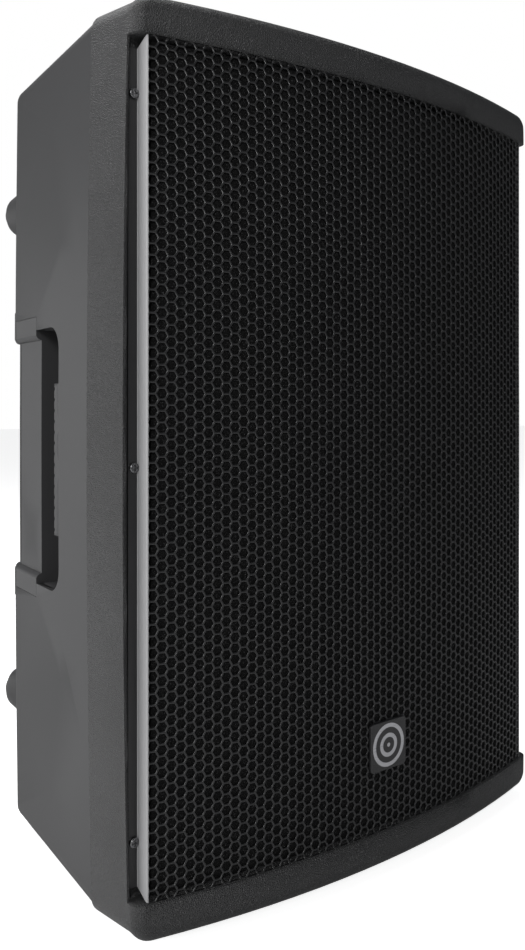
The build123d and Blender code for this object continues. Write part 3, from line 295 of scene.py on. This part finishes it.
finishes = {
    "bezel_plastic": grainedPlastic("bezelGrain", (0.021, 0.021, 0.0215), 0.4, 760.0, 1.0, 0.0006, 0.5),
    "shell_plastic": satinPlastic("shellSatin", (0.030, 0.030, 0.031), 0.52),
    "soft_rubber": rubber("softRubber", (0.02, 0.02, 0.02)),
    "grille_steel": powderCoat("grilleCoat", (0.010, 0.010, 0.0105), 0.34, paintedSheenBand=(0.1871, 0.1887)),
    "acoustic_foam": openFoam("grilleFoamCells", (0.0035, 0.0035, 0.0036)),
    "badge_metal": markedPlate("badgePlate", (0.012, 0.012, 0.013), (0.5, 0.5, 0.52), 0.3),
    "black_screw": bareMetal("screwBlack", (0.17, 0.17, 0.175), 0.27, (900.0, 900.0, 900.0)),
    "moulded_black": satinPlastic("mouldedBlack", (0.022, 0.022, 0.022), 0.45),
    "gloss_black": satinPlastic("glossBlack", (0.014, 0.014, 0.014), 0.18, 800.0, 0.08),
    "knob_plastic": satinPlastic("knobPlastic", (0.03, 0.03, 0.03), 0.4, 1800.0, 0.2),
    "panel_steel": powderCoat("panelCoat", (0.026, 0.026, 0.027), 0.45, 900.0, 0.4),
    "plain_steel": bareMetal("zincSteel", (0.55, 0.56, 0.57), 0.32),
    "black_aluminium": powderCoat("sinkBlack", (0.03, 0.03, 0.031), 0.34, 2200.0, 0.2),
    "board_laminate": satinPlastic("boardLaminate", (0.03, 0.13, 0.05), 0.35),
    "copper_winding": woundWire("copperWinding", (0.6, 0.26, 0.12)),
    "led_lens": clearLens("ledLens", (0.25, 0.8, 0.35)),
    "painted_steel": powderCoat("basketCoat", (0.03, 0.03, 0.03), 0.5),
    "paper_cone": pressedPaper("pressedPaper", (0.025, 0.025, 0.025)),
    "ferrite": satinPlastic("ferriteGrey", (0.05, 0.05, 0.052), 0.65, 500.0, 0.5),
}
slotOfNode = {row["node"]: row["material_slot"] for row in frame["record"]["subparts"]}
print("finishes made:", len(finishes))


def wear(obj, material):
    obj.data.materials.clear()
    obj.data.materials.append(material)


def addMesh(name, vertices, faces, material, body="cabinet"):
    mesh = bpy.data.meshes.new(name)
    mesh.from_pydata([tuple(v) for v in vertices], [], faces)
    mesh.validate()
    obj = bpy.data.objects.new(name, mesh)
    bpy.context.scene.collection.objects.link(obj)
    mesh.materials.append(material)
    return obj


def outwardNormals(obj):
    work = bmesh.new()
    work.from_mesh(obj.data)
    bmesh.ops.recalc_face_normals(work, faces=work.faces)
    work.to_mesh(obj.data)
    work.free()


def settle(obj, slotName, body, *replaced):
    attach(obj, body)
    if replaced:
        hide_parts(*replaced)
    return obj


for nodeName, obj in nodes.items():
    wear(obj, finishes[slotOfNode[nodeName]])


# big moulded parts get continuous shading from a merged copy of their own surface
def smoothMoulding(nodeName, angle=32.0):
    source = nodes[nodeName]
    work = bmesh.new()
    work.from_mesh(source.data)
    bmesh.ops.remove_doubles(work, verts=work.verts, dist=1e-6)
    mesh = bpy.data.meshes.new(nodeName + "_moulding")
    work.to_mesh(mesh)
    work.free()
    mesh.materials.append(finishes[slotOfNode[nodeName]])
    mesh.shade_smooth()
    mesh.set_sharp_from_angle(angle=math.radians(angle))
    obj = bpy.data.objects.new(nodeName + "_moulding", mesh)
    bpy.context.scene.collection.objects.link(obj)
    weighted = obj.modifiers.new("weighted", "WEIGHTED_NORMAL")
    weighted.keep_sharp = True
    weighted.weight = 80
    return settle(obj, slotOfNode[nodeName], source["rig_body"], nodeName)


for nodeName in ("front_bezel", "rear_shell", "handle_cup_left", "handle_cup_right",
                 "grip_bar_left", "grip_bar_right"):
    smoothMoulding(nodeName)
print("mouldings smoothed")

# ---- perforated grille
grilleLow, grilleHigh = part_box("grille")
apexY = grilleLow.y
grilleSet = {
    "bowRadius": 0.788,
    "halfWidth": 0.1876,
    "halfFlange": 0.1952,
    "sheet": 0.0012,
    "columns": 60,
    "rows": 75,
    "openShare": 0.81,
    "rimDrop": 0.00022,
    "foldRadius": 0.0009,
    "foldSteps": 6,
    "foldSharpAngle": 40,
    "returnDepth": 0.013,
    "edgeClearance": 0.0002,
    "endRelief": 0.006,
}
bowCentreY = apexY + grilleSet["bowRadius"]
edgeAngle = math.asin(grilleSet["halfWidth"] / grilleSet["bowRadius"])
backY = grilleHigh.y
screenHeight = grilleHigh.z - grilleLow.z
screenMiddle = (grilleHigh.z + grilleLow.z) / 2
holePitch = screenHeight / grilleSet["rows"]


class Wiring:
    def __init__(self, name, sizes):
        self.tree = bpy.data.node_groups.new(name, "GeometryNodeTree")
        self.sizes = sizes
        face = self.tree.interface
        for label, value in sizes.items():
            kind = "NodeSocketInt" if isinstance(value, int) else "NodeSocketFloat"
            face.new_socket(label, in_out="INPUT", socket_type=kind).default_value = value
        face.new_socket("Geometry", in_out="OUTPUT", socket_type="NodeSocketGeometry")
        self.inputs = self.tree.nodes.new("NodeGroupInput")
        self.result = self.tree.nodes.new("NodeGroupOutput")

    def size(self, label):
        return self.inputs.outputs[label]

    def add(self, kind, settings=None, inputs=None):
        made = self.tree.nodes.new(kind)
        for key, value in (settings or {}).items():
            setattr(made, key, value)
        for key, value in (inputs or {}).items():
            socket = made.inputs[key]
            if isinstance(value, bpy.types.NodeSocket):
                self.tree.links.new(value, socket)
            else:
                socket.default_value = value
        return made.outputs

    def maths(self, operation, *values):
        return self.add("ShaderNodeMath", {"operation": operation}, dict(enumerate(values)))[0]

    def moved(self, geometry, position, selection=True):
        return self.add("GeometryNodeSetPosition", {}, {
            "Geometry": geometry, "Selection": selection, "Position": position})[0]

    def bake(self, name, geometry, material):
        realized = self.add("GeometryNodeRealizeInstances", {}, {"Geometry": geometry})[0]
        painted = self.add("GeometryNodeSetMaterial", {}, {"Geometry": realized, "Material": material})[0]
        self.tree.links.new(painted, self.result.inputs["Geometry"])
        holder = bpy.data.objects.new(name + "Maker", bpy.data.meshes.new(name + "Maker"))
        bpy.context.scene.collection.objects.link(holder)
        modifier = holder.modifiers.new(name, "NODES")
        modifier.node_group = self.tree
        for item in self.tree.interface.items_tree:
            if item.in_out == "INPUT":
                modifier[item.identifier] = self.sizes[item.name]
        bpy.context.view_layer.update()
        evaluated = holder.evaluated_get(bpy.context.evaluated_depsgraph_get())
        mesh = bpy.data.meshes.new_from_object(evaluated)
        holder.modifiers.clear()
        bpy.data.objects.remove(holder)
        mesh.name = name
        obj = bpy.data.objects.new(name, mesh)
        bpy.context.scene.collection.objects.link(obj)
        return obj


def perforatedScreen():
    w = Wiring("perforatedScreen", {
        "pitch": holePitch, "openShare": grilleSet["openShare"], "sheet": grilleSet["sheet"],
        "rimDrop": grilleSet["rimDrop"], "columns": grilleSet["columns"], "rows": grilleSet["rows"],
        "bowRadius": grilleSet["bowRadius"], "bowCentre": bowCentreY,
        "halfArc": edgeAngle * grilleSet["bowRadius"] - grilleSet["edgeClearance"],
        "middle": screenMiddle})
    pitch = w.size("pitch")
    acrossCorners = w.maths("DIVIDE", pitch, math.sqrt(3))
    holeRadius = w.maths("MULTIPLY", acrossCorners, w.size("openShare"))
    grow = w.maths("DIVIDE", 1.0, w.size("openShare"))
    # one cell: front land, hole wall, back land
    hexagon = w.add("GeometryNodeMeshCircle", {"fill_type": "NONE"}, {"Vertices": 6, "Radius": holeRadius})[0]
    sunk = w.maths("MULTIPLY", w.size("rimDrop"), -1.0)
    rim = w.add("GeometryNodeSetPosition", {}, {
        "Geometry": hexagon, "Offset": w.add("ShaderNodeCombineXYZ", {}, {"Z": sunk})[0]})[0]
    where = w.add("GeometryNodeInputPosition")[0]
    parts = w.add("ShaderNodeSeparateXYZ", {}, {"Vector": where})
    wide = [w.maths("MULTIPLY", parts[axis], grow) for axis in (0, 1)]
    land = w.add("GeometryNodeExtrudeMesh", {"mode": "EDGES"}, {"Mesh": rim, "Offset Scale": 0.0})
    front = w.moved(land[0], w.add("ShaderNodeCombineXYZ", {}, {
        "X": wide[0], "Y": wide[1], "Z": 0.0})[0], land[1])
    depth = w.maths("MULTIPLY", w.size("sheet"), -1.0)
    wall = w.add("GeometryNodeExtrudeMesh", {"mode": "EDGES"}, {
        "Mesh": rim, "Offset Scale": 0.0})
    wallDeep = w.moved(wall[0], w.add("ShaderNodeCombineXYZ", {}, {
        "X": parts[0], "Y": parts[1], "Z": depth})[0], wall[1])
    backRim = w.add("GeometryNodeSetPosition", {}, {
        "Geometry": hexagon, "Offset": w.add("ShaderNodeCombineXYZ", {}, {"Z": depth})[0]})[0]
    back = w.add("GeometryNodeExtrudeMesh", {"mode": "EDGES"}, {"Mesh": backRim, "Offset Scale": 0.0})
    backWide = w.moved(back[0], w.add("ShaderNodeCombineXYZ", {}, {
        "X": wide[0], "Y": wide[1], "Z": depth})[0], back[1])
    flippedWall = w.add("GeometryNodeFlipFaces", {}, {"Mesh": wallDeep})[0]
    flippedBack = w.add("GeometryNodeFlipFaces", {}, {"Mesh": backWide})[0]
    join = w.tree.nodes.new("GeometryNodeJoinGeometry")
    for piece in (front, flippedWall, flippedBack):
        w.tree.links.new(piece, join.inputs[0])
    # field of cells, every other column dropped by half a pitch
    across = w.maths("MULTIPLY", pitch, math.sqrt(3) / 2)
    columnCount = w.maths("ADD", w.size("columns"), 2)
    rowCount = w.maths("ADD", w.size("rows"), 1)
    width = w.maths("MULTIPLY", across, w.maths("SUBTRACT", columnCount, 1))
    height = w.maths("MULTIPLY", pitch, w.size("rows"))
    field = w.add("GeometryNodeMeshGrid", {}, {
        "Size X": width, "Size Y": height, "Vertices X": columnCount, "Vertices Y": rowCount})[0]
    at = w.add("ShaderNodeSeparateXYZ", {}, {"Vector": where})
    column = w.maths("ROUND", w.maths("DIVIDE", w.maths("ADD", at[0], w.maths("DIVIDE", width, 2)), across))
    odd = w.maths("FLOORED_MODULO", column, 2.0)
    lift = w.maths("MULTIPLY", w.maths("MULTIPLY", odd, pitch), 0.5)
    staggered = w.add("GeometryNodeSetPosition", {}, {
        "Geometry": field, "Offset": w.add("ShaderNodeCombineXYZ", {}, {"Y": lift})[0]})[0]
    cells = w.add("GeometryNodeInstanceOnPoints", {}, {"Points": staggered, "Instance": join.outputs[0]})[0]
    flat = w.add("GeometryNodeRealizeInstances", {}, {"Geometry": cells})[0]
    # trimmed to the sheet's edges
    half = w.maths("MULTIPLY", height, 0.5)
    trim = w.add("ShaderNodeSeparateXYZ", {}, {"Vector": where})
    kept = [
        w.maths("MINIMUM", w.maths("MAXIMUM", trim[0], w.maths("MULTIPLY", w.size("halfArc"), -1.0)),
                w.size("halfArc")),
        w.maths("MINIMUM", w.maths("MAXIMUM", trim[1], w.maths("MULTIPLY", half, -1.0)), half)]
    cut = w.moved(flat, w.add("ShaderNodeCombineXYZ", {}, {"X": kept[0], "Y": kept[1], "Z": trim[2]})[0])
    welded = w.add("GeometryNodeMergeByDistance", {}, {"Geometry": cut, "Distance": 0.00002})[0]
    area = w.add("GeometryNodeInputMeshFaceArea")[0]
    sliver = w.maths("LESS_THAN", area, 2e-9)
    clean = w.add("GeometryNodeDeleteGeometry", {"domain": "FACE"}, {
        "Geometry": welded, "Selection": sliver})[0]
    # bent to the bow
    spot = w.add("ShaderNodeSeparateXYZ", {}, {"Vector": where})
    radius = w.maths("ADD", w.size("bowRadius"), spot[2])
    angle = w.maths("DIVIDE", spot[0], w.size("bowRadius"))
    bentX = w.maths("MULTIPLY", radius, w.maths("SINE", angle))
    bentY = w.maths("SUBTRACT", w.size("bowCentre"), w.maths("MULTIPLY", radius, w.maths("COSINE", angle)))
    bentZ = w.maths("ADD", spot[1], w.size("middle"))
    bent = w.moved(clean, w.add("ShaderNodeCombineXYZ", {}, {"X": bentX, "Y": bentY, "Z": bentZ})[0])
    smooth = w.add("GeometryNodeSetShadeSmooth", {}, {"Geometry": bent})[0]
    return w.bake("grilleScreen", smooth, finishes["grille_steel"])


def roundedPath(points, radius, steps):
    path = [Vector(points[0])]
    for before, corner, after in zip(points, points[1:], points[2:]):
        before, corner, after = Vector(before), Vector(corner), Vector(after)
        arrive, leave = (corner - before).normalized(), (after - corner).normalized()
        turn = arrive.angle(leave)
        reach = radius * math.tan(turn / 2)
        start, end = corner - arrive * reach, corner + leave * reach
        for i in range(steps + 1):
            share = i / steps
            blend = start.lerp(corner, share).lerp(corner.lerp(end, share), share)
            path.append(blend)
    path.append(Vector(points[-1]))
    return path


def grilleFold(side):
    s = grilleSet
    half = s["sheet"] / 2
    middleRadius = s["bowRadius"] - half
    startAngle = edgeAngle - s["edgeClearance"] / s["bowRadius"]
    start = (middleRadius * math.sin(startAngle), bowCentreY - middleRadius * math.cos(startAngle))
    tangent = Vector((math.cos(startAngle), math.sin(startAngle)))
    foldX = s["halfWidth"] + half * 0.35
    corner = (foldX, start[1] + (foldX - start[0]) * tangent.y / tangent.x)
    points = [start, corner, (foldX, backY - half), (s["halfFlange"], backY - half)]
    path = roundedPath(points, s["foldRadius"], s["foldSteps"])
    lengths = [0.0]
    for a, b in zip(path, path[1:]):
        lengths.append(lengths[-1] + (b - a).length)
    vertices, faces = [], []
    for i, spot in enumerate(path):
        ahead = path[min(i + 1, len(path) - 1)] - path[max(i - 1, 0)]
        normal = Vector((ahead.y, -ahead.x)).normalized()
        rise = s["endRelief"] * min(1.0, lengths[i] / s["returnDepth"])
        for offset in (half, -half):
            p = spot + normal * offset
            for z in (grilleLow.z + rise, grilleHigh.z - rise):
                vertices.append((side * p.x, p.y, z))
    for i in range(len(path) - 1):
        a, b = 4 * i, 4 * (i + 1)
        faces += [(a, b, b + 1, a + 1), (a + 2, a + 3, b + 3, b + 2),
                  (a, a + 2, b + 2, b), (a + 1, b + 1, b + 3, a + 3)]
    last = 4 * (len(path) - 1)
    faces += [(0, 1, 3, 2), (last, last + 2, last + 3, last + 1)]
    fold = addMesh("fold", vertices, faces, finishes["grille_steel"])
    outwardNormals(fold)
    fold.data.shade_smooth()
    fold.data.set_sharp_from_angle(angle=math.radians(s["foldSharpAngle"]))
    return fold


screen = perforatedScreen()
folds = [grilleFold(side) for side in (-1, 1)]
joined = bmesh.new()
for piece in (screen, *folds):
    joined.from_mesh(piece.data)
joined.to_mesh(screen.data)
joined.free()
for fold in folds:
    bpy.data.objects.remove(fold)
wear(screen, finishes["grille_steel"])
screen.data.polygons.foreach_set("material_index", [0] * len(screen.data.polygons))
settle(screen, "grille_steel", "cabinet", "grille")
print("grille:", len(screen.data.polygons), "faces")

# ---- foam behind the grille
foamSet = {
    "columns": 120,
    "rows": 176,
    "thickness": 0.0078,
    "sag": 0.0006,
    "edgeRounding": 0.0012,
    "seed": 4.0,
}


def foamSheet():
    low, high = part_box("grille_foam")
    outer = bowCentreY - low.y
    halfArc = math.asin(high.x / outer)
    columns, rows = foamSet["columns"], foamSet["rows"]
    thickness = foamSet["thickness"]
    vertices, faces = [], []
    for layer in (0, 1):
        for j in range(rows + 1):
            z = low.z + (high.z - low.z) * j / rows
            for i in range(columns + 1):
                angle = halfArc * (2 * i / columns - 1)
                lump = noise.fractal(Vector((angle * 160, z * 130, foamSet["seed"])), 1.0, 2.0, 3)
                edge = min(i, columns - i, j, rows - j)
                rounding = foamSet["edgeRounding"] * max(0.0, 1 - edge / 2) ** 2
                sink = foamSet["sag"] * (0.5 + 0.5 * max(-1.0, min(1.0, lump))) + rounding
                radius = outer - sink - 0.0001 if layer == 0 else outer - thickness + sink * 0.3
                vertices.append((radius * math.sin(angle), bowCentreY - radius * math.cos(angle), z))
    count = (rows + 1) * (columns + 1)
    for j in range(rows):
        for i in range(columns):
            a = j * (columns + 1) + i
            b, c, d = a + 1, a + columns + 2, a + columns + 1
            faces.append((a, b, c, d))
            faces.append((count + a, count + d, count + c, count + b))
    border = list(range(columns + 1))
    border += [j * (columns + 1) + columns for j in range(1, rows + 1)]
    border += [rows * (columns + 1) + i for i in range(columns - 1, -1, -1)]
    border += [j * (columns + 1) for j in range(rows - 1, 0, -1)]
    for a, b in zip(border, border[1:] + border[:1]):
        faces.append((a, count + a, count + b, b))
    foam = addMesh("grilleFoamSheet", vertices, faces, finishes["acoustic_foam"])
    outwardNormals(foam)
    foam.data.shade_smooth()
    return foam


foam = foamSheet()
settle(foam, "acoustic_foam", "cabinet", "grille_foam")
print("foam sheet made")

# ---- studio
studio = {
    "eye": (-0.4631, -0.6110),
    "eyeOverMiddle": 0.040,
    "look": (0.6214, 0.7835, 0.0),
    "lens": 33.48,
    "shift": (-0.029, -0.0735),
    "roll": 0.0,
    "floorReach": 12.0,
    "floorGlow": 0.8,
    "airFill": 0.13,
}


def floorAndWalls():
    reach = studio["floorReach"]
    f = Finish("paleFloor", Roughness=0.9, Specular_IOR_Level=0.0, Emission_Strength=studio["floorGlow"])
    ray = f.node("ShaderNodeLightPath", {}, {}, "Is Camera Ray")
    f.surface(Base_Color=f.mixed(f.noise(3.0), (0.78, 0.78, 0.785, 1), (0.82, 0.82, 0.82, 1)))
    f.surface(Emission_Color=f.mixed(ray, (0, 0, 0, 1), (1, 1, 1, 1)))
    floor = addMesh("floor", [(-reach, -reach, 0), (reach, -reach, 0), (reach, reach, 0), (-reach, reach, 0)],
                    [(0, 1, 2, 3)], f.material)


def softLight(name, spot, target, size, power, tint=(1, 1, 1)):
    data = bpy.data.lights.new(name, "AREA")
    data.shape = "RECTANGLE"
    data.size, data.size_y = size
    data.energy = power
    data.color = tint
    lamp = bpy.data.objects.new(name, data)
    lamp.location = spot
    lamp.rotation_euler = (Vector(target) - Vector(spot)).to_track_quat("-Z", "Y").to_euler()
    bpy.context.scene.collection.objects.link(lamp)


def backdrop():
    world = bpy.data.worlds.new("studioAir")
    bpy.context.scene.world = world
    world.use_nodes = True
    tree = world.node_tree
    tree.nodes.clear()
    ray = tree.nodes.new("ShaderNodeLightPath")
    seen = tree.nodes.new("ShaderNodeBackground")
    seen.inputs["Color"].default_value = (1, 1, 1, 1)
    seen.inputs["Strength"].default_value = 1.0
    fill = tree.nodes.new("ShaderNodeBackground")
    fill.inputs["Color"].default_value = (0.93, 0.96, 1.0, 1)
    fill.inputs["Strength"].default_value = studio["airFill"]
    mix = tree.nodes.new("ShaderNodeMixShader")
    out = tree.nodes.new("ShaderNodeOutputWorld")
    tree.links.new(ray.outputs["Is Camera Ray"], mix.inputs[0])
    tree.links.new(fill.outputs[0], mix.inputs[1])
    tree.links.new(seen.outputs[0], mix.inputs[2])
    tree.links.new(mix.outputs[0], out.inputs[0])


def placeCamera():
    data = bpy.data.cameras.new("studioCamera")
    data.lens = studio["lens"]
    data.sensor_width = 36.0
    data.shift_x, data.shift_y = studio["shift"]
    data.clip_start = 0.01
    camera = bpy.data.objects.new("studioCamera", data)
    camera.location = (*studio["eye"], screenMiddle + studio["eyeOverMiddle"])
    camera.rotation_euler = Vector(studio["look"]).to_track_quat("-Z", "Y").to_euler()
    camera.rotation_euler.rotate_axis("Z", math.radians(studio["roll"]))
    bpy.context.scene.collection.objects.link(camera)
    bpy.context.scene.camera = camera


floorAndWalls()
softLight("keyLeft", (-2.3, 0.35, 0.75), (0, 0.05, 0.3), (2.2, 1.8), 34)
softLight("behindLeft", (-1.35, 1.95, 0.45), (-0.2, 0.0, 0.31), (1.3, 1.0), 5)
softLight("overhead", (-0.4, 0.6, 2.3), (0, 0, 0.3), (2.0, 2.0), 30)
softLight("frontLeft", (-1.6, -1.9, 1.3), (0, 0, 0.3), (0.6, 0.8), 26)
backdrop()
placeCamera()
bpy.context.scene.view_settings.view_transform = "Standard"
print("studio ready")
